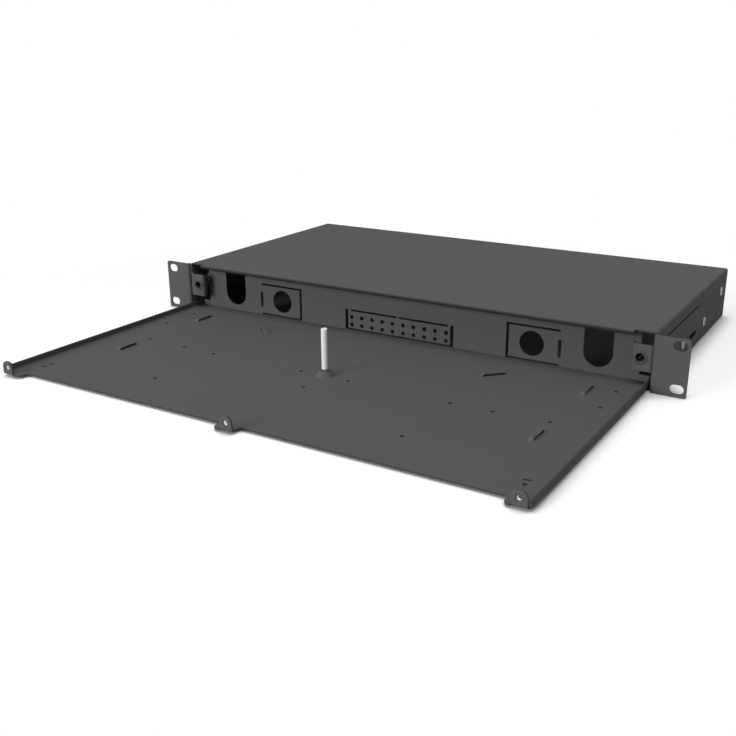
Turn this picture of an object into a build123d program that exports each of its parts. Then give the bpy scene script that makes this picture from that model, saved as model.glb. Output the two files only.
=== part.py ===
from build123d import *

import os

# Sliding fibre patch panel for a 19 inch rack, one unit high, drawn with its drawer pulled out.
# X runs to the right, Y into the rack and Z up. The origin is the centre of the four rack
# slots, on the rear face of the ears, which is the face that lies on the rack's posts.

os.makedirs("parts", exist_ok=True)

# Rack standard: spacing of the four slots
rack_pitch_x = 465.1
rack_pitch_z = 31.75
rack_slot_length = 10.0
rack_slot_width = 7.0

# Outer size: the ears end, and the housing begins, at these distances from the slots' centres
slot_to_edge_x = 6.95
slot_to_edge_z = 5.925
slot_to_housing = 17.55
housing_depth = 228.5

# Sheet metal and clearances
sheet = 1.2
ear_sheet = 1.5
bend = 0.9
running_gap = 0.3
side_gap = 0.6
fit_gap = 0.1
shut_gap = 1.7

# Heights of the housing's walls
skirt_lift = 0.6
pan_wall_gap = 1.2

# Latch plates and sockets: insets from the pan's outer face, and height above the bottom
latch_inset = 8.8
latch_height = 24.4
latch_plate_setback = 2.0
latch_plate_width = 15.0
latch_plate_height = 20.0
latch_lip_depth = 4.4
socket_bore = 6.6
socket_hole = 8.0
socket_rim = 10.0
socket_rim_thickness = 0.9
socket_barrel = 8.6
socket_barrel_taper = 1.0

# Ear brackets
ear_corner = 1.5
ear_flange_length = 130.3
ear_flange_low = 1.0
ear_flange_below_top = 10.4
ear_flange_corner = 6.0
ear_slot_length = 21.0
ear_slot_width = 4.2
ear_slot_inset = 16.8
ear_slot_height = 12.5

# Top cover: corner notches, and the window that the ear bracket's flange lies in
cover_notch_width = 15.0
cover_notch_depth = 5.0
window_gap = 1.1

# Guide rails
rail_setback = 24.0
rail_clearance = 0.6
rail_height = 11.0
rail_width = 9.1
rail_end_gap = 5.0

# Fasteners of the housing
rail_screw_height = 6.7
ear_screw_setback = 24.5
ear_screw_spacing = 57.0
ear_screw_heights = [26.9, 13.7]
cover_screw_gap = 19.4
cover_screw_from_rear = 21.9
cover_screw_height = 27.7
screw_shank = 4.0
screw_head = 8.0
screw_head_height = 1.2
screw_head_chamfer = 0.4
nut_across = 7.0
nut_height = 2.6

# Drawer tray
tray_flange_height = 5.9
wall_setback = 14.2

# Front tabs
tab_reach = 8.6
tongue_width = 17.2
tongue_corner = 4.0
tongue_root = 3.0
tab_width = 10.0
left_tab_inset = 0.1
right_tab_inset = 2.4
tab_nut_height = 6.0
tab_nut_shank = 6.0
tab_nut_body = 7.0
tab_nut_length = 2.0
tab_thread = 3.3
centre_tab_x = 3.0
centre_tongue_left = -8.3
centre_tongue_corner = 3.3
centre_tongue_root = 1.8

# Rear wall of the drawer, and the lips that it is welded to
wall_side_gap = 1.6
wall_shoulder_gap = 1.2
wall_headroom = 1.9
wall_corner = 1.5
lip_height = 8.5
lip_margin = 5.0
lip_edge_margin = 2.5
slit = 1.6

# Cable notches, from the wall's ends, and gland flaps, from the notches
notch_inset = 31.4
notch_width = 22.5
notch_bottom = 6.1
flap_gap = 18.35
flap_width = 43.2
flap_height = 28.9
flap_neck = 6.5
flap_low_neck = 5.5
flap_outer_slit = 2.6
flap_inner_slit = 2.2
gland_inset = 20.6
gland_height = 15.8
gland_hole = 20.0

# Perforated tie plate, and heights of its rows above the tray's bottom
tie_half = 51.5
tie_side_slit = 2.8
tie_height = 18.3
tie_neck_side = 5.2
tie_neck_centre = 2.4
tie_pitch = 10.0
tie_columns = 10
tie_rows = [5.8, 12.7]
tie_hole = 3.6

# Holes in the tray's floor: from the tray's side or its centre line, and in front of the wall
floor_hole = 3.2
side_holes = [(36.0, 107.2), (16.0, 65.7), (16.5, 30.7), (14.6, 199.7)]
splice_pattern_x = 210.0
splice_pattern_y = 66.0
splice_pattern_setback = 143.2
centre_holes = [(136.6, 109.4), (21.0, 108.7), (0.0, 135.7)]
floor_slot_inset = 15.5
floor_slot_setback = 193.7
floor_slot_length = 6.0
floor_slot_width = 2.2

# Cable-tie bridges, lanced out of the tray's floor
bridge_length = 20.0
bridge_width = 3.4
bridge_rise = 2.0
bridge_slope = 2.0
bridge_inset = 35.0
bridge_setbacks = [133.2, 39.7]
diagonal_x = 106.5
diagonal_setback = 42.7
diagonal_turn = 45.0

# Pillar and its fastening
pillar_setback = 107.7
pillar_diameter = 4.8
pillar_headroom = 3.2
pillar_thread = 2.5
pillar_thread_depth = 12.0
pillar_screw_engagement = 10.0
pillar_chamfer = 0.5
emboss_base = 15.0
emboss_top = 8.0
emboss_height = 4.4
washer_diameter = 7.0
washer_thickness = 0.8
pillar_shank = 3.0
pillar_screw_head = 5.6
pillar_screw_head_height = 2.0

# Housing: places that follow from the sizes above
panel_height = rack_pitch_z + 2 * slot_to_edge_z
bottom = -panel_height / 2
top = panel_height / 2
front = -ear_sheet
rear = front + housing_depth
ear_half = rack_pitch_x / 2 + slot_to_edge_x
cover_half = rack_pitch_x / 2 - slot_to_housing
pan_half = cover_half - sheet
pan_inner = pan_half - sheet
bend_outer = bend + sheet
ear_bend_outer = bend + ear_sheet
latch_x = pan_half - latch_inset
latch_z = bottom + latch_height
latch_low = latch_z - latch_plate_height / 2
latch_plate_front = front + latch_plate_setback
latch_plate_back = latch_plate_front + sheet
latch_end = pan_half - latch_plate_width
pan_front = latch_plate_front + bend_outer
pan_wall_top = top - sheet - pan_wall_gap
flange_rear = front + ear_flange_length
flange_low = bottom + ear_flange_low
flange_high = top - ear_flange_below_top

# Drawer: heights
tray_bottom = bottom + sheet + running_gap
tray_floor = tray_bottom + sheet
tray_flange_top = tray_bottom + tray_flange_height
rail_bottom = tray_flange_top + rail_clearance
rail_top = rail_bottom + rail_height
wall_top = top - sheet - wall_headroom
tab_nut_z = tray_bottom + tab_nut_height
tab_top = tab_nut_z + tab_width / 2
emboss_top_z = tray_floor + emboss_height
washer_top_z = emboss_top_z + washer_thickness
pillar_top = top - sheet - pillar_headroom

# Drawer: depths. Shut, the wall's lips are flush with the housing's rear and the front
# tabs stand just ahead of the latch plates, so both follow from the housing's depth.
wall_front = front + wall_setback
wall_back = wall_front + sheet
tray_rear = wall_back + sheet
travel = rear - tray_rear
tab_front = latch_plate_front - shut_gap - travel
tray_front = tab_front + tab_reach
tab_back = tab_front + sheet
tongue_front = tab_front + bend_outer
tongue_rear = tray_front + sheet
rail_front = front + rail_setback
rail_rear = rear - rail_end_gap
socket_back = wall_front - running_gap
pillar_y = wall_front - pillar_setback

# Drawer: widths
tray_half = pan_inner - side_gap
rail_reach = pan_inner - rail_width
wall_half = rail_reach - wall_side_gap
wall_shoulder = tray_half - sheet - wall_shoulder_gap
left_tab_x = -(tray_half - left_tab_inset - tab_width / 2)
right_tab_x = tray_half - right_tab_inset - tab_width / 2
right_tab_inner = right_tab_x - tab_width / 2
centre_tab_left = centre_tab_x - tab_width / 2
centre_tab_right = centre_tab_x + tab_width / 2
tongue_inner = tray_half - tongue_width
notch_x = wall_half - notch_inset
flap_outer = notch_x - notch_width / 2 - flap_gap
flap_inner = flap_outer - flap_width
gland_x = flap_inner + gland_inset
lip_spans = [(tie_half + lip_margin, flap_inner - lip_margin),
             (flap_outer + lip_margin, notch_x - notch_width / 2 - lip_edge_margin),
             (notch_x + notch_width / 2 + lip_edge_margin, wall_half - lip_edge_margin)]

# Fastener places on a side wall, as (y, z)
screw_hole = screw_shank / 2 + fit_gap
pillar_hole = pillar_shank / 2 + fit_gap
ear_screw_places = [(front + ear_screw_setback + i * ear_screw_spacing, bottom + height)
                    for i, height in enumerate(ear_screw_heights)]
cover_screw_places = [(flange_rear + cover_screw_gap, rail_bottom + rail_screw_height),
                      (rear - cover_screw_from_rear, bottom + cover_screw_height)]
ear_slot_place = (flange_rear - ear_slot_inset, bottom + ear_slot_height)

# Planes of the profiles: a section seen from the front, and one seen from the right
front_section = Plane(origin=(0, 0, 0), x_dir=(1, 0, 0), z_dir=(0, -1, 0))
side_section = Plane(origin=(0, 0, 0), x_dir=(0, 1, 0), z_dir=(1, 0, 0))
pillar_section = Plane(origin=(0, pillar_y, 0), x_dir=(1, 0, 0), z_dir=(0, -1, 0))
pillar_axis = Axis((0, pillar_y, 0), (0, 0, 1))


def fold_section(corners, thickness, side):
    """Add the section of a folded sheet: its outer line, rounded at the bends, and its wall."""
    with BuildSketch() as section:
        with BuildLine():
            FilletPolyline(*corners, radius=bend + thickness)
            offset(amount=thickness, side=side)
        make_face()
    add(section.sketch)


def save(part, name):
    part.label = name
    export_step(part, "parts/" + name + ".step")


# Base pan: floor, two inner side walls, and a latch plate bent inward at the front of each wall,
# with its free end folded back
with BuildPart() as base_pan:
    with BuildSketch(front_section.offset(-pan_front)):
        fold_section(
            [(-pan_half, pan_wall_top), (-pan_half, bottom), (pan_half, bottom), (pan_half, pan_wall_top)],
            sheet, Side.LEFT)
    extrude(amount=-(rear - pan_front))
    with BuildSketch(Plane.XY.offset(latch_low)):
        fold_section(
            [(pan_half, pan_front + sheet), (pan_half, latch_plate_front), (latch_end, latch_plate_front),
             (latch_end, latch_plate_front + latch_lip_depth)],
            sheet, Side.RIGHT)
        mirror(about=Plane.YZ)
    extrude(amount=latch_plate_height)
    with BuildSketch(front_section.offset(-latch_plate_front)):
        with Locations((-latch_x, latch_z), (latch_x, latch_z)):
            Circle(socket_hole / 2)
    extrude(amount=-sheet, mode=Mode.SUBTRACT)
    with BuildSketch(side_section.offset(-cover_half)):
        with Locations(*ear_screw_places, *cover_screw_places):
            Circle(screw_hole)
        with Locations(ear_slot_place):
            SlotOverall(ear_slot_length, ear_slot_width)
    extrude(amount=2 * cover_half, mode=Mode.SUBTRACT)
save(base_pan.part, "base_pan")


# Top cover: the roof and both skirts, with front corners notched round the ear brackets
with BuildPart() as top_cover:
    with BuildSketch(front_section.offset(-front)):
        skirt_bottom = bottom + skirt_lift
        fold_section(
            [(-cover_half, skirt_bottom), (-cover_half, top), (cover_half, top), (cover_half, skirt_bottom)],
            sheet, Side.RIGHT)
    extrude(amount=-housing_depth)
    with BuildSketch(Plane.XY.offset(bottom)):
        for sign in (-1, 1):
            with Locations((sign * (cover_half - cover_notch_width / 2), front + cover_notch_depth / 2)):
                Rectangle(cover_notch_width + sheet, cover_notch_depth)
    extrude(amount=panel_height, mode=Mode.SUBTRACT)
    with BuildSketch(side_section.offset(-cover_half)):
        with BuildLine():
            window_rear = flange_rear + window_gap
            window_top = flange_high + window_gap
            FilletPolyline((front, window_top), (window_rear, window_top), (window_rear, bottom),
                           radius=ear_flange_corner + window_gap)
            Polyline((window_rear, bottom), (front, bottom), (front, window_top))
        make_face()
        with Locations(*cover_screw_places):
            Circle(screw_hole)
    extrude(amount=2 * cover_half, mode=Mode.SUBTRACT)
save(top_cover.part, "top_cover")


# Ear brackets: a rack plate with two slots, and a flange screwed to the pan's wall
for name, sign in (("left_ear_bracket", -1), ("right_ear_bracket", 1)):
    flange_start = front + ear_bend_outer
    with BuildPart() as ear_bracket:
        with BuildSketch(Plane.XY.offset(bottom)):
            fold_section(
                [(sign * pan_half, flange_start + sheet), (sign * pan_half, front), (sign * ear_half, front)],
                ear_sheet, Side.LEFT if sign > 0 else Side.RIGHT)
        extrude(amount=panel_height)
        outer_corners = ear_bracket.edges().filter_by(Axis.Y).group_by(Axis.X)[-1 if sign > 0 else 0]
        fillet(outer_corners, radius=ear_corner)
        with BuildSketch(front_section.offset(-front)):
            with Locations(*[(sign * rack_pitch_x / 2, z) for z in (-rack_pitch_z / 2, rack_pitch_z / 2)]):
                SlotOverall(rack_slot_length, rack_slot_width)
        extrude(amount=-ear_sheet, mode=Mode.SUBTRACT)
        with BuildSketch(side_section.offset(sign * pan_half)) as flange_sketch:
            with BuildLine():
                Polyline((flange_start, flange_low), (flange_rear, flange_low),
                         (flange_rear, flange_high), (flange_start, flange_high), close=True)
            make_face()
            rear_corners = flange_sketch.vertices().group_by(Axis.Y)[-1]
            fillet(rear_corners, radius=ear_flange_corner)
        extrude(amount=sign * ear_sheet)
        with BuildSketch(side_section.offset(sign * pan_half)):
            with Locations(*ear_screw_places):
                Circle(screw_hole)
            with Locations(ear_slot_place):
                SlotOverall(ear_slot_length, ear_slot_width)
        extrude(amount=sign * ear_sheet, mode=Mode.SUBTRACT)
    save(ear_bracket.part, name)


# Guide rails: angles inside the pan that hold the tray's flanges down
for name, sign in (("left_guide_rail", -1), ("right_guide_rail", 1)):
    with BuildPart() as guide_rail:
        with BuildSketch(front_section.offset(-rail_front)):
            fold_section(
                [(sign * pan_inner, rail_top), (sign * pan_inner, rail_bottom),
                 (sign * rail_reach, rail_bottom)],
                sheet, Side.RIGHT if sign > 0 else Side.LEFT)
        extrude(amount=-(rail_rear - rail_front))
        with BuildSketch(side_section.offset(sign * (pan_inner - sheet))):
            with Locations(ear_screw_places[1], cover_screw_places[0]):
                Circle(screw_hole)
        extrude(amount=sign * sheet, mode=Mode.SUBTRACT)
    save(guide_rail.part, name)


# Latch sockets: nylon rings snapped into the latch plates, whose barrels also stop the drawer
for name, sign in (("left_latch_socket", -1), ("right_latch_socket", 1)):
    with BuildPart() as latch_socket:
        with BuildSketch(Plane.XY.offset(0)):
            with BuildLine():
                bore = socket_bore / 2
                rim_front = latch_plate_front - socket_rim_thickness
                neck = socket_hole / 2 - fit_gap
                Polyline((bore, rim_front), (socket_rim / 2, rim_front), (socket_rim / 2, latch_plate_front),
                         (neck, latch_plate_front), (neck, latch_plate_back),
                         (socket_barrel / 2, latch_plate_back + socket_barrel_taper),
                         (socket_barrel / 2, socket_back),
                         (bore, socket_back), close=True)
            make_face()
        revolve(axis=Axis.Y)
    socket = Pos(sign * latch_x, 0, latch_z) * latch_socket.part
    save(socket, name)


def side_screws(places, head_face, nut_face, sign):
    """Pan head screws across the side wall, from the head's seat to just past the nut."""
    with BuildPart() as screws:
        with BuildSketch(side_section.offset(sign * head_face)):
            with Locations(*places):
                Circle(screw_head / 2)
        extrude(amount=sign * screw_head_height)
        outer_rims = screws.edges().filter_by(GeomType.CIRCLE).group_by(Axis.X)[-1 if sign > 0 else 0]
        chamfer(outer_rims, length=screw_head_chamfer)
        for y, z in places:
            with BuildSketch(side_section.offset(sign * head_face)):
                with Locations((y, z)):
                    Circle(screw_shank / 2)
            extrude(amount=-sign * (head_face - nut_face(z) + nut_height))
    return screws.part


def side_nuts(places, nut_face, sign):
    """Clinch nuts pressed against the inner face that the screws pass through."""
    with BuildPart() as nuts:
        for y, z in places:
            with BuildSketch(side_section.offset(sign * nut_face(z))):
                with Locations((y, z)):
                    RegularPolygon(nut_across / 2, 6, major_radius=False)
                    Circle(screw_shank / 2 + fit_gap / 2, mode=Mode.SUBTRACT)
            extrude(amount=-sign * nut_height)
    return nuts.part


def inner_face(height):
    """Innermost face at a screw's height: the guide rail's, or the pan wall's above the rail."""
    return pan_inner - sheet if height < rail_top else pan_inner


# Side fasteners: the ear screws seat on the brackets' flanges and the cover screws on the skirts
for side_name, sign in (("left", -1), ("right", 1)):
    save(side_screws(ear_screw_places, pan_half + ear_sheet, inner_face, sign), side_name + "_ear_screws")
    save(side_nuts(ear_screw_places, inner_face, sign), side_name + "_ear_nuts")
    save(side_screws(cover_screw_places, cover_half, inner_face, sign), side_name + "_cover_screws")
    save(side_nuts(cover_screw_places, inner_face, sign), side_name + "_cover_nuts")


def bridge(x, y, turn):
    """A strip lanced out of the floor and arched up over its own opening, to hold a cable tie."""
    along = Plane(origin=(x, y, 0), z_dir=(0, 0, 1)).rotated((0, 0, turn))
    with BuildSketch(along.offset(tray_bottom)) as window:
        Rectangle(bridge_width, bridge_length)
    extrude(window.sketch, amount=sheet, mode=Mode.SUBTRACT)
    half = bridge_length / 2
    crown = tray_bottom + bridge_rise
    strip = Plane(origin=along.origin, x_dir=along.y_dir, z_dir=along.x_dir)
    with BuildSketch(strip) as arch:
        with BuildLine():
            Polyline((-half, tray_bottom), (-half + bridge_slope, crown), (half - bridge_slope, crown),
                     (half, tray_bottom), (half, tray_floor), (half - bridge_slope, crown + sheet),
                     (-half + bridge_slope, crown + sheet), (-half, tray_floor), close=True)
        make_face()
    extrude(arch.sketch, amount=bridge_width / 2, both=True)


def tongue(free_side, tab_edge, root, corner):
    """Add the tongue between its free side and a tab, rounded at the root and at the corner."""
    root_end = free_side + (2 * root if free_side > tab_edge else -2 * root)
    with BuildSketch() as outline:
        with BuildLine():
            FilletPolyline((root_end, tray_front), (free_side, tray_front), (free_side, tab_front),
                           (tab_edge, tab_front), radius=[root, corner])
            Polyline((tab_edge, tab_front), (tab_edge, tongue_rear), (root_end, tongue_rear),
                     (root_end, tray_front))
        make_face()
    add(outline.sketch)


# Drawer tray: one folded sheet with side flanges, three front tabs, rear lips, holes and bridges
with BuildPart() as drawer_tray:
    with BuildSketch(front_section.offset(-tray_front)):
        fold_section(
            [(-tray_half, tray_flange_top), (-tray_half, tray_bottom), (tray_half, tray_bottom),
             (tray_half, tray_flange_top)],
            sheet, Side.LEFT)
    extrude(amount=-(wall_back - tray_front))
    with BuildSketch(front_section.offset(-tongue_front)):
        fold_section(
            [(right_tab_inner, tray_bottom), (tray_half, tray_bottom), (tray_half, tray_flange_top)],
            sheet, Side.LEFT)
        mirror(about=Plane.YZ)
    extrude(amount=-(tray_front - tongue_front))
    with BuildSketch(side_section.offset(tray_half - sheet)):
        with BuildLine():
            flange_low_edge = tray_bottom + bend_outer
            Polyline((tab_front, flange_low_edge), (tongue_front, flange_low_edge),
                     (tongue_front, tray_flange_top), (tab_front, tray_flange_top), close=True)
        make_face()
    extrude(amount=sheet)
    with BuildSketch(Plane.XY.offset(tray_bottom)):
        tongue(-tongue_inner, left_tab_x + tab_width / 2, tongue_root, tongue_corner)
        tongue(tongue_inner, right_tab_inner, tongue_root, tongue_corner)
        tongue(centre_tongue_left, centre_tab_left, centre_tongue_root, centre_tongue_corner)
        with BuildLine():
            centre_root_end = centre_tab_right + 2 * centre_tongue_root
            FilletPolyline((centre_tab_right, tongue_front), (centre_tab_right, tray_front),
                           (centre_root_end, tray_front), radius=centre_tongue_root)
            Polyline((centre_root_end, tray_front), (centre_root_end, tongue_rear),
                     (centre_tab_left, tongue_rear), (centre_tab_left, tongue_front),
                     (centre_tab_right, tongue_front))
        make_face()
    extrude(amount=sheet)
    for x in (left_tab_x, centre_tab_x, right_tab_x):
        with BuildSketch(side_section.offset(x - tab_width / 2)):
            fold_section(
                [(tongue_front + fit_gap, tray_bottom), (tab_front, tray_bottom), (tab_front, tab_top)],
                sheet, Side.RIGHT)
        extrude(amount=tab_width)
    tab_corners = drawer_tray.edges().filter_by(Axis.Y).filter_by_position(
        Axis.Z, tab_top - fit_gap, tab_top + fit_gap)
    fillet(tab_corners, radius=tab_width / 2 - fit_gap)
    with BuildSketch(front_section.offset(-tab_front)):
        with Locations(*[(x, tab_nut_z) for x in (left_tab_x, centre_tab_x, right_tab_x)]):
            Circle(tab_nut_shank / 2)
    extrude(amount=-sheet, mode=Mode.SUBTRACT)
    for low, high in lip_spans:
        for sign in (-1, 1):
            with BuildSketch(side_section.offset(sign * low)):
                fold_section(
                    [(wall_front - bend_outer, tray_bottom), (tray_rear, tray_bottom),
                     (tray_rear, tray_bottom + lip_height)],
                    sheet, Side.LEFT)
            extrude(amount=sign * (high - low))
    with BuildSketch(Plane.XY.offset(tray_bottom)):
        places = [(tray_half - inset, y) for inset, y in side_holes] + centre_holes
        with Locations(*[(sign * x, wall_front - y) for x, y in places for sign in (-1, 1)]):
            Circle(floor_hole / 2)
        with Locations((0, wall_front - splice_pattern_setback)):
            with GridLocations(splice_pattern_x, splice_pattern_y, 2, 2):
                Circle(floor_hole / 2)
        slot_x = tray_half - floor_slot_inset
        with Locations(*[(sign * slot_x, wall_front - floor_slot_setback) for sign in (-1, 1)]):
            SlotOverall(floor_slot_length, floor_slot_width)
    extrude(amount=sheet, mode=Mode.SUBTRACT)
    for sign in (-1, 1):
        for setback in bridge_setbacks:
            bridge(sign * (tray_half - bridge_inset), wall_front - setback, 0)
        bridge(sign * diagonal_x, wall_front - diagonal_setback, -sign * diagonal_turn)
    with BuildSketch(Plane.XY.offset(tray_bottom)):
        with Locations((0, pillar_y)):
            Circle(emboss_base / 2)
    extrude(amount=sheet, mode=Mode.SUBTRACT)
    with BuildSketch(pillar_section):
        with BuildLine():
            Polyline((pillar_hole, emboss_top_z), (emboss_top / 2, emboss_top_z),
                     (emboss_base / 2, tray_floor), (emboss_base / 2, tray_bottom),
                     (emboss_top / 2, emboss_top_z - sheet), (pillar_hole, emboss_top_z - sheet), close=True)
        make_face()
    revolve(axis=pillar_axis)
save(drawer_tray.part, "drawer_tray")


# Rear wall of the drawer: stands on the tray against the lips, with cable entries cut in it
with BuildPart() as drawer_rear_wall:
    with BuildSketch(front_section.offset(-wall_front)):
        with Locations((0, tray_floor)):
            Rectangle(2 * wall_half, wall_top - tray_floor, align=(Align.CENTER, Align.MIN))
            Rectangle(2 * wall_shoulder, tray_flange_top - tray_floor, align=(Align.CENTER, Align.MIN))
        with BuildSketch(mode=Mode.SUBTRACT):
            notch_centre = tray_bottom + notch_bottom + notch_width / 2
            with Locations((notch_x, notch_centre)):
                Circle(notch_width / 2)
            with Locations((notch_x, notch_centre)):
                Rectangle(notch_width, panel_height, align=(Align.CENTER, Align.MIN))
            with Locations((gland_x, tray_bottom + gland_height)):
                Circle(gland_hole / 2)
            with Locations((flap_inner + slit, tray_floor)):
                Rectangle(flap_inner_slit, flap_height, align=(Align.MAX, Align.MIN))
            with Locations((flap_inner, tray_floor + flap_height - slit), (flap_inner, tray_floor)):
                Rectangle(flap_width, slit, align=Align.MIN)
            with Locations((flap_outer, tray_floor + slit + flap_low_neck)):
                Rectangle(flap_outer_slit, flap_height - 2 * slit - flap_low_neck - flap_neck,
                          align=(Align.CENTER, Align.MIN))
            with Locations((tie_half, tray_floor)):
                Rectangle(tie_side_slit, tie_height, align=(Align.MAX, Align.MIN))
            with Locations((tie_neck_centre / 2, tray_floor + tie_height - slit)):
                Rectangle(tie_half - tie_neck_side - tie_neck_centre / 2, slit, align=Align.MIN)
            with Locations((0, tray_floor)):
                Rectangle(tie_half, slit, align=Align.MIN)
            mirror(about=Plane.YZ)
            for height in tie_rows:
                with Locations((0, tray_bottom + height)):
                    with GridLocations(tie_pitch, 0, tie_columns, 1):
                        Circle(tie_hole / 2)
    extrude(amount=-sheet)
    seat_edges = drawer_rear_wall.edges().filter_by(Axis.X).group_by(Axis.Z)[0].group_by(Axis.Y)[-1]
    chamfer(seat_edges, length=bend + fit_gap)
    top_corners = drawer_rear_wall.edges().filter_by(Axis.Y).group_by(Axis.Z)[-1]
    fillet(top_corners, radius=wall_corner)
save(drawer_rear_wall.part, "drawer_rear_wall")


# Tab nuts: clinch nuts whose shanks show as bright rings in the front tabs
for name, x in (("left_tab_nut", left_tab_x), ("centre_tab_nut", centre_tab_x),
                ("right_tab_nut", right_tab_x)):
    with BuildPart() as tab_nut:
        with BuildSketch():
            with BuildLine():
                Polyline((tab_thread / 2, tab_front), (tab_nut_shank / 2, tab_front),
                         (tab_nut_shank / 2, tab_back), (tab_nut_body / 2, tab_back),
                         (tab_nut_body / 2, tab_back + tab_nut_length),
                         (tab_thread / 2, tab_back + tab_nut_length), close=True)
            make_face()
        revolve(axis=Axis.Y)
    save(Pos(x, 0, tab_nut_z) * tab_nut.part, name)


# Pillar screw: pan head in the hollow of the emboss, shank up into the pillar
with BuildPart() as pillar_screw:
    with BuildSketch(pillar_section):
        with BuildLine():
            head_seat = emboss_top_z - sheet
            shank_top = washer_top_z + pillar_screw_engagement
            Polyline((0, head_seat - pillar_screw_head_height),
                     (pillar_screw_head / 2, head_seat - pillar_screw_head_height),
                     (pillar_screw_head / 2, head_seat), (pillar_shank / 2, head_seat),
                     (pillar_shank / 2, shank_top), (0, shank_top), close=True)
        make_face()
    revolve(axis=pillar_axis)
save(pillar_screw.part, "pillar_screw")


with BuildPart() as pillar_washer:
    with BuildSketch(Plane.XY.offset(emboss_top_z)):
        with Locations((0, pillar_y)):
            Circle(washer_diameter / 2)
            Circle(pillar_hole, mode=Mode.SUBTRACT)
    extrude(amount=washer_thickness)
save(pillar_washer.part, "pillar_washer")


# Splice pillar: a round nylon spacer, threaded at both ends, that carries splice trays
with BuildPart() as splice_pillar:
    with BuildSketch(Plane.XY.offset(washer_top_z)):
        with Locations((0, pillar_y)):
            Circle(pillar_diameter / 2)
    extrude(amount=pillar_top - washer_top_z)
    chamfer(splice_pillar.edges().filter_by(GeomType.CIRCLE), length=pillar_chamfer)
    with BuildSketch(Plane.XY.offset(washer_top_z)):
        with Locations((0, pillar_y)):
            Circle(pillar_shank / 2 + fit_gap / 2)
    extrude(amount=pillar_screw_engagement + 1, mode=Mode.SUBTRACT)
    with BuildSketch(Plane.XY.offset(pillar_top)):
        with Locations((0, pillar_y)):
            Circle(pillar_thread / 2)
    extrude(amount=-pillar_thread_depth, mode=Mode.SUBTRACT)
save(splice_pillar.part, "splice_pillar")
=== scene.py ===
import math

import bpy
from mathutils import Matrix, Vector
from mathutils.bvhtree import BVHTree


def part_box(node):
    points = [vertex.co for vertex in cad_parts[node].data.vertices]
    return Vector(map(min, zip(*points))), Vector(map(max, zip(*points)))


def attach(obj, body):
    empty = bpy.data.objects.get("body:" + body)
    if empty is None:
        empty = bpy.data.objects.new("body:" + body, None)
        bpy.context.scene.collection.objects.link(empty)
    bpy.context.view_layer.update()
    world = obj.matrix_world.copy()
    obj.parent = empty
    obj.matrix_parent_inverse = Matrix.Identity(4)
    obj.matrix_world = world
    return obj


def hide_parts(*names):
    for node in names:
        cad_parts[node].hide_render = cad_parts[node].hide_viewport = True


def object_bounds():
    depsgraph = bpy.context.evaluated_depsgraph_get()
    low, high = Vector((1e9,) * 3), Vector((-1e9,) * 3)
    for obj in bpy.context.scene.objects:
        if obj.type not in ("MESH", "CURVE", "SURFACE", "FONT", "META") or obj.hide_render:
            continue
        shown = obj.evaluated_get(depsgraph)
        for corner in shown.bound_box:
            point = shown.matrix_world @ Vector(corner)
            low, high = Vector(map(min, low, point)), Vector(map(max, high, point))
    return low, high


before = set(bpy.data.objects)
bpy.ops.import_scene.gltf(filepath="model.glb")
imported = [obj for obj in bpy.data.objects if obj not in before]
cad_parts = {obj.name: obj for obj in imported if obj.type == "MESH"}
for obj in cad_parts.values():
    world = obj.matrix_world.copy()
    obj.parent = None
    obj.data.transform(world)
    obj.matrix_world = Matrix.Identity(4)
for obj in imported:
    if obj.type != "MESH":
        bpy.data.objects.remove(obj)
cad_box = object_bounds()
mm = 0.001

# The studio: a lens of 46 mm stands to the right of the panel and a little above it, and looks
# down over the drawer. Soft light fills the room, and everything beyond the floor is white.
lens = 46.28
camera_place = Vector((374.49, -640.06, 218.51)) * mm
turn, tilt, roll = 0.5538, 0.3376, -0.0062  # in radians
room_brightness = 0.19
room_colour = (0.96, 0.97, 1.0, 1)
backdrop_brightness = 1.0
white = (1, 1, 1, 1)
lamps = (  # name, place, diameter and power; each one looks at the origin
    ("key_light", (-0.6, -1.8, 0.5), 1.0, 29.6),
    ("top_light", (0.2, -0.5, 1.8), 1.4, 22.8),
    ("rear_light", (-0.15, 1.8, 0.08), 0.7, 1.5))

scene = bpy.context.scene
scene.view_settings.view_transform = "Standard"
camera_data = bpy.data.cameras.new("camera")
camera_data.sensor_width = 36.0
camera_data.lens = lens
camera_data.clip_end = 20.0
camera = bpy.data.objects.new("camera", camera_data)
scene.collection.objects.link(camera)
view = Vector((-math.sin(turn) * math.cos(tilt), math.cos(turn) * math.cos(tilt), -math.sin(tilt)))
side = view.cross(Vector((0, 0, 1))).normalized()
up = side.cross(view)
camera_x = math.cos(roll) * side + math.sin(roll) * up
camera_y = math.cos(roll) * up - math.sin(roll) * side
camera_axes = Matrix((camera_x, camera_y, -view)).transposed().to_4x4()
camera.matrix_world = Matrix.Translation(camera_place) @ camera_axes
scene.camera = camera


def seen_directly(nodes, links):
    """1 for rays from the camera, a gloss or a transmission, and 0 for those that gather the light
    that falls on a matt face."""
    path = nodes.new("ShaderNodeLightPath")
    either = nodes.new("ShaderNodeMath")
    either.operation = "MAXIMUM"
    links.new(path.outputs["Is Camera Ray"], either.inputs[0])
    links.new(path.outputs["Is Glossy Ray"], either.inputs[1])
    result = nodes.new("ShaderNodeMath")
    result.operation = "MAXIMUM"
    links.new(either.outputs[0], result.inputs[0])
    links.new(path.outputs["Is Transmission Ray"], result.inputs[1])
    return result.outputs[0]


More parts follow.
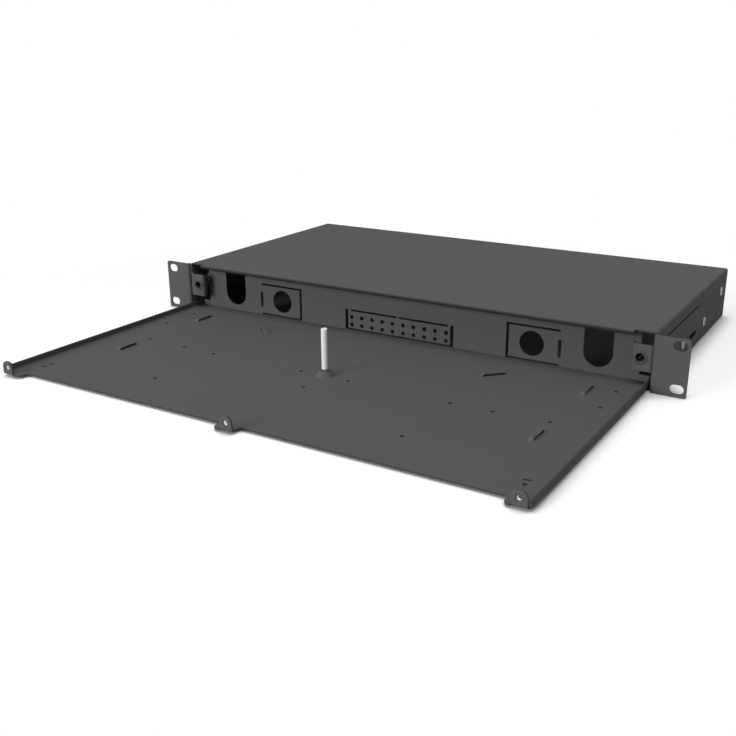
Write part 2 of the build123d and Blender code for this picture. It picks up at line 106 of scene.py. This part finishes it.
world = bpy.data.worlds.new("studio")
scene.world = world
world.use_nodes = True
nodes, links = world.node_tree.nodes, world.node_tree.links
nodes.clear()
room_light = nodes.new("ShaderNodeBackground")
room_light.inputs["Color"].default_value = room_colour
room_light.inputs["Strength"].default_value = room_brightness
backdrop = nodes.new("ShaderNodeBackground")
backdrop.inputs["Color"].default_value = white
backdrop.inputs["Strength"].default_value = backdrop_brightness
choice = nodes.new("ShaderNodeMixShader")
output = nodes.new("ShaderNodeOutputWorld")
links.new(seen_directly(nodes, links), choice.inputs["Fac"])
links.new(room_light.outputs[0], choice.inputs[1])
links.new(backdrop.outputs[0], choice.inputs[2])
links.new(choice.outputs[0], output.inputs["Surface"])

for name, place, diameter, power in lamps:
    lamp = bpy.data.lights.new(name, "AREA")
    lamp.shape = "DISK"
    lamp.size = diameter
    lamp.energy = power
    lamp_object = bpy.data.objects.new(name, lamp)
    lamp_object.location = place
    lamp_object.rotation_euler = (-Vector(place)).to_track_quat("-Z", "Y").to_euler()
    scene.collection.objects.link(lamp_object)

# The floor: pale matt paper that the panel stands on. The lamps cast the panel's shadow on it. For
# the camera the paper is also a touch bluer and glows; the glow is turned down where the panel
# closes the ground in, a painted shade that keeps the ground dark under the tray and beside the
# panel. Further out it turns plain white, where the ground is bare.
floor_size = 8
paper_colour = (0.55, 0.55, 0.55, 1)  # what the light meets
shaded_colour = (0.57, 0.57, 0.59, 1)  # what the camera sees near the panel
nook_reach = 0.024
closed_nook, open_ground = 0.54, 0.82  # how open the ground is within that reach, as a share
closed_glow, open_glow = 0.018, 0.50  # what the camera sees the ground add to its own shading
shadow_end, white_start = 0.27, 0.47  # distances from the origin

bpy.ops.object.select_all(action="DESELECT")
bpy.ops.mesh.primitive_plane_add(size=floor_size, location=(0, 0, cad_box[0][2]))
floor = bpy.context.object
floor.name = "floor"
floor_material = bpy.data.materials.new("pale_floor")
floor_material.use_nodes = True
nodes, links = floor_material.node_tree.nodes, floor_material.node_tree.links
nodes.clear()
paper = nodes.new("ShaderNodeBsdfDiffuse")
paper.inputs["Color"].default_value = paper_colour
shaded_paper = nodes.new("ShaderNodeBsdfDiffuse")
shaded_paper.inputs["Color"].default_value = shaded_colour
# Ambient occlusion turns the camera's glow down near and under the panel: painted shade.
nook = nodes.new("ShaderNodeAmbientOcclusion")
nook.samples = 8
nook.inputs["Distance"].default_value = nook_reach
painted_nook_shade = nodes.new("ShaderNodeMapRange")
painted_nook_shade.inputs["From Min"].default_value = closed_nook
painted_nook_shade.inputs["From Max"].default_value = open_ground
painted_nook_shade.inputs["To Min"].default_value = closed_glow
painted_nook_shade.inputs["To Max"].default_value = open_glow
glow = nodes.new("ShaderNodeEmission")
near_paper = nodes.new("ShaderNodeAddShader")
far_paper = nodes.new("ShaderNodeEmission")
far_paper.inputs["Strength"].default_value = backdrop_brightness
spot = nodes.new("ShaderNodeTexCoord")
distance = nodes.new("ShaderNodeVectorMath")
distance.operation = "LENGTH"
fade = nodes.new("ShaderNodeMapRange")
fade.interpolation_type = "SMOOTHSTEP"
fade.inputs["From Min"].default_value = shadow_end
fade.inputs["From Max"].default_value = white_start
shown_paper = nodes.new("ShaderNodeMixShader")
choice = nodes.new("ShaderNodeMixShader")
output = nodes.new("ShaderNodeOutputMaterial")
links.new(nook.outputs["AO"], painted_nook_shade.inputs["Value"])
links.new(painted_nook_shade.outputs["Result"], glow.inputs["Strength"])
links.new(spot.outputs["Object"], distance.inputs[0])
links.new(distance.outputs["Value"], fade.inputs["Value"])
links.new(shaded_paper.outputs[0], near_paper.inputs[0])
links.new(glow.outputs[0], near_paper.inputs[1])
links.new(fade.outputs["Result"], shown_paper.inputs["Fac"])
links.new(near_paper.outputs[0], shown_paper.inputs[1])
links.new(far_paper.outputs[0], shown_paper.inputs[2])
links.new(seen_directly(nodes, links), choice.inputs["Fac"])
links.new(paper.outputs[0], choice.inputs[1])
links.new(shown_paper.outputs[0], choice.inputs[2])
links.new(choice.outputs[0], output.inputs["Surface"])
floor.data.materials.append(floor_material)

# The housing: a base pan and a top cover bent from 1.2 mm steel, two guide rails inside them, and
# two ear brackets of 1.5 mm steel. All wear one fine dark grey powder coat; their cut edges are
# coloured darker, a painted shade for the dark lines along edges, slits and gaps.
sheet_thickness = 1.2 * mm
ear_thickness = 1.5 * mm
coat_colour = (0.085, 0.085, 0.086)
# Cut edges take darker colours than the coat: painted shade for the dark lines along edges, slits
# and gaps.
edge_shade_colour = (0.022, 0.022, 0.023)
pale_edge_shade_colour = (0.050, 0.050, 0.051)
coat_gloss = 0.05
edge_share = 1.35  # metal deeper than this share of the sheet lies behind a cut edge
below_face = 0.02 * mm


def new_material(name):
    """An empty node material, and its shader."""
    material = bpy.data.materials.new(name)
    material.use_nodes = True
    return material, material.node_tree.nodes["Principled BSDF"]


def noise(material, scale, detail):
    """A noise that is fixed to the piece. Its scale is about the number of waves in a metre."""
    nodes, links = material.node_tree.nodes, material.node_tree.links
    place = nodes.new("ShaderNodeTexCoord")
    pattern = nodes.new("ShaderNodeTexNoise")
    pattern.inputs["Scale"].default_value = scale
    pattern.inputs["Detail"].default_value = detail
    links.new(place.outputs["Object"], pattern.inputs["Vector"])
    return pattern.outputs["Fac"]


def drift(material, shader, pattern, colour, darkest, lightest):
    """Let the colour drift with a noise, between two shares of itself."""
    nodes, links = material.node_tree.nodes, material.node_tree.links
    tone = nodes.new("ShaderNodeMix")
    tone.data_type = "RGBA"
    tone.inputs["A"].default_value = (*[c * darkest for c in colour], 1)
    tone.inputs["B"].default_value = (*[c * lightest for c in colour], 1)
    links.new(pattern, tone.inputs["Factor"])
    links.new(tone.outputs["Result"], shader.inputs["Base Color"])


def relief(material, shader, pattern, smooth, rough, strength, height, low=0.0, high=1.0):
    """Let the roughness go from smooth to rough as a noise goes from low to high, and let the
    noise raise the surface by a height."""
    nodes, links = material.node_tree.nodes, material.node_tree.links
    gloss = nodes.new("ShaderNodeMapRange")
    gloss.inputs["From Min"].default_value = low
    gloss.inputs["From Max"].default_value = high
    gloss.inputs["To Min"].default_value = smooth
    gloss.inputs["To Max"].default_value = rough
    links.new(pattern, gloss.inputs["Value"])
    links.new(gloss.outputs["Result"], shader.inputs["Roughness"])
    bump = nodes.new("ShaderNodeBump")
    bump.inputs["Strength"].default_value = strength
    bump.inputs["Distance"].default_value = height
    links.new(pattern, bump.inputs["Height"])
    links.new(bump.outputs["Normal"], shader.inputs["Normal"])


def coated_steel(name, colour):
    """Powder coat: a matt skin with a fine grain, whose tone drifts a little over the sheet."""
    material, shader = new_material(name)
    shader.inputs["Specular IOR Level"].default_value = coat_gloss
    clouds = noise(material, scale=14.0, detail=3.0)
    drift(material, shader, clouds, colour, darkest=0.96, lightest=1.04)
    grain = noise(material, scale=1400.0, detail=4.0)
    relief(material, shader, grain, smooth=0.66, rough=0.76, strength=0.25, height=0.08 * mm,
           low=0.3, high=0.7)
    return material


def coat_sheet(node, thickness, edge):
    """Coat a sheet piece. Its cut edges are the faces that the metal lies deeper behind than the
    sheet is thick: they take a darker colour, a painted shade for the dark lines along edges and
    slits."""
    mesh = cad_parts[node].data
    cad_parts[node].material_slots[0].material = powder_coat
    mesh.materials.append(edge)
    sheet = BVHTree.FromPolygons([v.co for v in mesh.vertices], [f.vertices for f in mesh.polygons])
    for face in mesh.polygons:
        depth = sheet.ray_cast(face.center - below_face * face.normal, -face.normal)[3]
        if depth is None or depth > edge_share * thickness:
            face.material_index = 1


powder_coat = coated_steel("powder_coat", coat_colour)
painted_edge_shade = coated_steel("painted_edge_shade", edge_shade_colour)
pale_painted_edge_shade = coated_steel("pale_painted_edge_shade", pale_edge_shade_colour)
coat_sheet("top_cover", sheet_thickness, pale_painted_edge_shade)
for node in ("base_pan", "left_guide_rail", "right_guide_rail"):
    coat_sheet(node, sheet_thickness, painted_edge_shade)
for node in ("left_ear_bracket", "right_ear_bracket"):
    coat_sheet(node, ear_thickness, painted_edge_shade)

# The hem: the cover's front edge is folded back under the roof, between the two corner notches. The
# fold takes the dark edge colour, a painted shade that shows as a dark line over the drawer.
hem_drop = 1.9 * mm
hem_reach = 6.0 * mm
corner_notch = 15.6 * mm
fold_steps = 8
smooth_angle = math.radians(35)

low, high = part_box("top_cover")
hem_half = high.x - corner_notch
roof_underside = high.z - sheet_thickness
hem_underside = roof_underside - hem_drop
fold_angles = [math.pi / 2 * i / fold_steps for i in range(fold_steps + 1)]
hem_outline = [(low.y + sheet_thickness * (1 - math.cos(angle)),
                hem_underside + sheet_thickness * (1 - math.sin(angle))) for angle in fold_angles]
hem_outline += [(low.y + hem_reach, hem_underside), (low.y + hem_reach, roof_underside),
                (low.y, roof_underside)]
bpy.ops.object.select_all(action="DESELECT")
bpy.ops.mesh.primitive_circle_add(vertices=len(hem_outline), fill_type="NGON")
hem = bpy.context.object
hem.name = "top_cover_hem"
for vertex, (y, z) in zip(hem.data.vertices, hem_outline):
    vertex.co = (-hem_half, y, z)
bpy.ops.object.mode_set(mode="EDIT")
bpy.ops.mesh.select_all(action="SELECT")
bpy.ops.mesh.extrude_region_move(TRANSFORM_OT_translate={"value": (2 * hem_half, 0, 0)})
bpy.ops.mesh.select_all(action="SELECT")
bpy.ops.mesh.normals_make_consistent(inside=False)
bpy.ops.object.mode_set(mode="OBJECT")
bpy.ops.object.shade_smooth_by_angle(angle=smooth_angle)
# Painted shade: the whole fold wears the dark edge colour.
hem.data.materials.append(painted_edge_shade)
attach(hem, "housing")

# The latch sockets: grey nylon bushes, one in each latch plate, that a front plate's plunger clicks
# into. The rim lies on the plate, and four fingers behind it spread and hold the bush.
socket_neck = 3.9 * mm
socket_barrel = 4.3 * mm
socket_bore = 3.3 * mm
socket_mouth = 0.3 * mm
rim_thickness = 0.9 * mm
rim_round = 0.25 * mm
barb_slope = 1.0 * mm
finger_slit = 0.8 * mm
finger_length = 6.8 * mm
round_steps = 48
weld_distance = 0.001 * mm


def turned(name, profile, steps=round_steps):
    """A round piece about Z through the origin: a ring of points, set to a profile of radius and
    height, and spun."""
    bpy.ops.object.select_all(action="DESELECT")
    bpy.ops.mesh.primitive_circle_add(vertices=len(profile), fill_type="NOTHING")
    piece = bpy.context.object
    piece.name = name
    for vertex, (radius, height) in zip(piece.data.vertices, profile):
        vertex.co = (radius, 0, height)
    bpy.ops.object.mode_set(mode="EDIT")
    bpy.ops.mesh.select_all(action="SELECT")
    bpy.ops.mesh.spin(steps=steps, angle=2 * math.pi, center=(0, 0, 0), axis=(0, 0, 1))
    bpy.ops.mesh.select_all(action="SELECT")
    bpy.ops.mesh.remove_doubles(threshold=weld_distance)
    bpy.ops.mesh.normals_make_consistent(inside=False)
    bpy.ops.object.mode_set(mode="OBJECT")
    return piece


def cut(piece, centre, size, angle=0.0):
    """Take a bar out of a piece: a box of that size, turned about Z by an angle."""
    bpy.ops.object.select_all(action="DESELECT")
    bpy.ops.mesh.primitive_cube_add(size=1, location=centre, rotation=(0, 0, angle), scale=size)
    bar = bpy.context.object
    away = piece.modifiers.new("cut", "BOOLEAN")
    away.object = bar
    away.solver = "EXACT"
    bpy.context.view_layer.objects.active = piece
    bpy.ops.object.modifier_apply(modifier="cut")
    bpy.data.objects.remove(bar)


def seat(piece, place, rest_axis):
    """Lay a piece that was made about Z at its place in the panel, its axis along rest_axis."""
    bpy.ops.object.select_all(action="DESELECT")
    piece.select_set(True)
    bpy.context.view_layer.objects.active = piece
    axis_turn = Vector(rest_axis).to_track_quat("Z", "X").to_matrix().to_4x4()
    piece.matrix_world = Matrix.Translation(place) @ axis_turn
    bpy.ops.object.transform_apply(location=True, rotation=True, scale=True)
    bpy.ops.object.shade_smooth_by_angle(angle=smooth_angle)


def moulded_nylon(name, colour, roughness, gloss_level, sheen_through):
    """Moulded nylon: a smooth skin with soft waves, and a little light that passes below it."""
    material, shader = new_material(name)
    shader.inputs["Specular IOR Level"].default_value = gloss_level
    shader.inputs["Subsurface Weight"].default_value = sheen_through
    shader.inputs["Subsurface Radius"].default_value = (1.0, 1.0, 1.0)
    shader.inputs["Subsurface Scale"].default_value = 1.0 * mm
    waves = noise(material, scale=260.0, detail=2.0)
    drift(material, shader, waves, colour, darkest=0.95, lightest=1.0)
    relief(material, shader, waves, smooth=roughness - 0.06, rough=roughness + 0.06, strength=0.15,
           height=0.1 * mm)
    return material


grey_nylon = moulded_nylon("grey_nylon", (0.06, 0.06, 0.061), roughness=0.6, gloss_level=0.18,
                           sheen_through=0.0)
for node in ("left_latch_socket", "right_latch_socket"):
    low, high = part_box(node)
    rim = (high.x - low.x) / 2
    length = high.y - low.y
    plate_front = length - rim_thickness
    plate_rear = plate_front - sheet_thickness
    socket = turned(node + "_bush", [
        (socket_bore, 0), (socket_barrel - rim_round, 0), (socket_barrel, rim_round),
        (socket_barrel, plate_rear - barb_slope), (socket_neck, plate_rear),
        (socket_neck, plate_front), (rim - rim_round, plate_front), (rim, plate_front + rim_round),
        (rim, length - 2 * rim_round), (rim - 0.3 * rim_round, length - 0.8 * rim_round),
        (rim - 2 * rim_round, length), (socket_bore + socket_mouth, length),
        (socket_bore, length - socket_mouth)])
    for angle in (math.pi / 4, -math.pi / 4):
        cut(socket, (0, 0, finger_length / 2), (4 * socket_barrel, finger_slit, finger_length),
            angle)
    socket.data.materials.append(grey_nylon)
    seat(socket, Vector(((low.x + high.x) / 2, high.y, (low.z + high.z) / 2)), (0, -1, 0))
    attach(socket, "housing")
    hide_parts(node)

# The side fasteners: zinc plated M4 screws with low pan heads and cross recesses. The front pair on
# each side holds the ear bracket, and the rear pair the cover. They turn into clinch nuts inside.
screw_radius = 2.0 * mm
screw_head = 4.0 * mm
head_height = 1.2 * mm
head_shares = [(1, 0), (1, 0.45), (0.93, 0.75), (0.72, 0.95), (0.4, 1), (0, 1)]  # out and up
thread_pitch = 0.7 * mm
thread_depth = 0.35 * mm
recess_length = 4.2 * mm
recess_width = 0.9 * mm
recess_depth = 0.8 * mm
screw_places = {  # back and up from the origin, in mm
    "ear_screws": [(23.0, 5.1), (80.0, -8.1)],
    "cover_screws": [(148.2, -7.1), (205.1, 5.9)]}
recess_turns = {"ear_screws": (0.3, 1.1), "cover_screws": (0.75, 0.1)}


def plated_steel(name, colour, roughness):
    """Zinc plate: grey metal with fine pale and dull patches left by the bath."""
    material, shader = new_material(name)
    shader.inputs["Metallic"].default_value = 1.0
    patches = noise(material, scale=700.0, detail=3.0)
    drift(material, shader, patches, colour, darkest=0.8, lightest=1.0)
    relief(material, shader, patches, smooth=roughness - 0.08, rough=roughness + 0.08, strength=0.2,
           height=0.03 * mm)
    return material


def thread(radius, low, high, deepening):
    """Points of a thread's flanks from low to high: crests at the radius, roots at the radius plus
    the deepening."""
    turns = int((high - low) / thread_pitch)
    points = []
    for i in range(turns):
        foot = low + i * thread_pitch
        points += [(radius, foot), (radius + deepening, foot + thread_pitch / 2)]
    return points + [(radius, low + turns * thread_pitch)]


def pan_screw(name, radius, head, height, length):
    """A pan head screw about Z, its seat at 0 and its head above."""
    shank_end = [(0, -length), (radius - thread_depth, -length)]
    shank = thread(radius, thread_pitch / 2 - length, -thread_pitch, -thread_depth) + [(radius, 0)]
    head_outline = [(across * head, above * height) for across, above in head_shares]
    screw = turned(name, shank_end + shank + head_outline)
    for angle in (0, math.pi / 2):
        cut(screw, (0, 0, height), (recess_length, recess_width, 2 * recess_depth), angle)
    return screw


# One zinc plating in two copies: the screws' copy is darkened, a painted duller reflection, and the
# nuts' copy is brightened, a painted glint.
zinc = plated_steel("dimmed_zinc_plate", (0.25, 0.255, 0.27), roughness=0.34)
glint_zinc = plated_steel("glint_zinc_plate", (0.80, 0.81, 0.83), roughness=0.30)
for side_name, outward in (("left", -1), ("right", 1)):
    for kind, places in screw_places.items():
        node = side_name + "_" + kind
        low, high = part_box(node)
        outer, inner = (high.x, low.x) if outward > 0 else (low.x, high.x)
        head_seat = outer - outward * head_height
        reach = abs(head_seat - inner)
        pair = []
        for (y, z), recess_turn in zip(places, recess_turns[kind]):
            screw = pan_screw(node + "_made", screw_radius, screw_head, head_height, reach)
            screw.data.transform(Matrix.Rotation(recess_turn, 4, "Z"))
            seat(screw, Vector((head_seat, y * mm, z * mm)), (outward, 0, 0))
            pair.append(screw)
        for screw in pair:
            screw.select_set(True)
        bpy.context.view_layer.objects.active = pair[0]
        bpy.ops.object.join()
        pair[0].data.materials.append(zinc)
        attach(pair[0], "housing")
        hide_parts(node)
    for kind in ("ear_nuts", "cover_nuts"):
        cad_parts[side_name + "_" + kind].material_slots[0].material = glint_zinc

# The drawer: a tray bent from one sheet, with lanced bridges for cable ties, and a rear wall welded
# to its lips. Both are powder coated like the top cover, and like it their cut edges take the paler
# painted edge shade.
for node in ("drawer_tray", "drawer_rear_wall"):
    coat_sheet(node, sheet_thickness, pale_painted_edge_shade)

# The tab nuts: clinch nuts pressed into the three front tabs before painting, so their faces wear
# the coat, and only the thread that was masked shows bare zinc.
nut_shank = 3.0 * mm
nut_bore = 1.65 * mm
nut_edge = 0.3 * mm
nut_rim = 0.1 * mm
nut_mouth = 0.7 * mm
nut_thread_start = 0.35 * mm
nut_thread_end = 0.5 * mm
for node in ("left_tab_nut", "centre_tab_nut", "right_tab_nut"):
    low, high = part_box(node)
    length = high.y - low.y
    nut_body = (high.x - low.x) / 2
    shoulder = length - sheet_thickness
    nut_thread = thread(nut_bore, nut_thread_start, length - nut_thread_end, thread_depth)
    nut = turned(node + "_pressed", [
        (nut_bore + nut_edge, 0), (nut_body - nut_edge, 0), (nut_body, nut_edge),
        (nut_body, shoulder), (nut_shank, shoulder), (nut_shank, length - nut_rim),
        (nut_shank - nut_rim, length), (nut_bore + nut_mouth, length)]
        + list(reversed(nut_thread)))
    nut.data.materials.append(powder_coat)
    # The bare thread takes the brightened zinc copy, a painted glint.
    nut.data.materials.append(glint_zinc)
    for face in nut.data.polygons:
        if Vector((face.center.x, face.center.y)).length < nut_bore + nut_edge:
            face.material_index = 1
    seat(nut, Vector(((low.x + high.x) / 2, high.y, (low.z + high.z) / 2)), (0, -1, 0))
    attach(nut, "drawer")
    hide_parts(node)

# The pillar and its fastening: a white nylon spacer, threaded at both ends, stands on a grey washer
# over the raised foot in the tray, and a screw from below holds it. Splice trays stack on it.
pillar_bore = 1.25 * mm
pillar_round = 0.4 * mm
pillar_mouth = 0.5 * mm
pillar_thread_end = 0.6 * mm
pillar_steps = 64
thread_reach = 12.0 * mm
foot_bore = 1.55 * mm
foot_mouth = 0.3 * mm
foot_depth = 11.0 * mm
washer_play = 0.1 * mm
washer_round = 0.15 * mm
pillar_screw_radius = 1.5 * mm
pillar_head_height = 2.0 * mm
white_nylon = moulded_nylon("white_nylon", (0.72, 0.73, 0.72), roughness=0.5, gloss_level=0.3,
                            sheen_through=0.2)

low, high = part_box("splice_pillar")
radius = (high.x - low.x) / 2
length = high.z - low.z
pillar_thread = thread(pillar_bore, length - thread_reach, length - pillar_thread_end, thread_depth)
pillar = turned("splice_pillar_spacer", [
    (0, foot_depth), (foot_bore, foot_depth), (foot_bore, foot_mouth), (foot_bore + foot_mouth, 0),
    (radius - pillar_round, 0), (radius, pillar_round), (radius, length - pillar_round),
    (radius - pillar_round, length), (pillar_bore + pillar_mouth, length)]
    + list(reversed(pillar_thread)) + [(0, length - thread_reach)], steps=pillar_steps)
pillar.data.materials.append(white_nylon)
seat(pillar, Vector(((low.x + high.x) / 2, (low.y + high.y) / 2, low.z)), (0, 0, 1))
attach(pillar, "drawer")
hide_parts("splice_pillar")

low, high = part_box("pillar_washer")
radius = (high.x - low.x) / 2
length = high.z - low.z
washer = turned("pillar_washer_ring", [
    (foot_bore + washer_play, 0), (radius - washer_round, 0), (radius, washer_round),
    (radius, length - washer_round), (radius - washer_round, length),
    (foot_bore + washer_play, length)])
washer.data.materials.append(grey_nylon)
seat(washer, Vector(((low.x + high.x) / 2, (low.y + high.y) / 2, low.z)), (0, 0, 1))
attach(washer, "drawer")
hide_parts("pillar_washer")

low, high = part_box("pillar_screw")
head_seat = low.z + pillar_head_height
pillar_screw = pan_screw("pillar_screw_made", pillar_screw_radius, (high.x - low.x) / 2,
                         pillar_head_height, high.z - head_seat)
pillar_screw.data.materials.append(zinc)
seat(pillar_screw, Vector(((low.x + high.x) / 2, (low.y + high.y) / 2, head_seat)), (0, 0, -1))
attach(pillar_screw, "drawer")
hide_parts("pillar_screw")
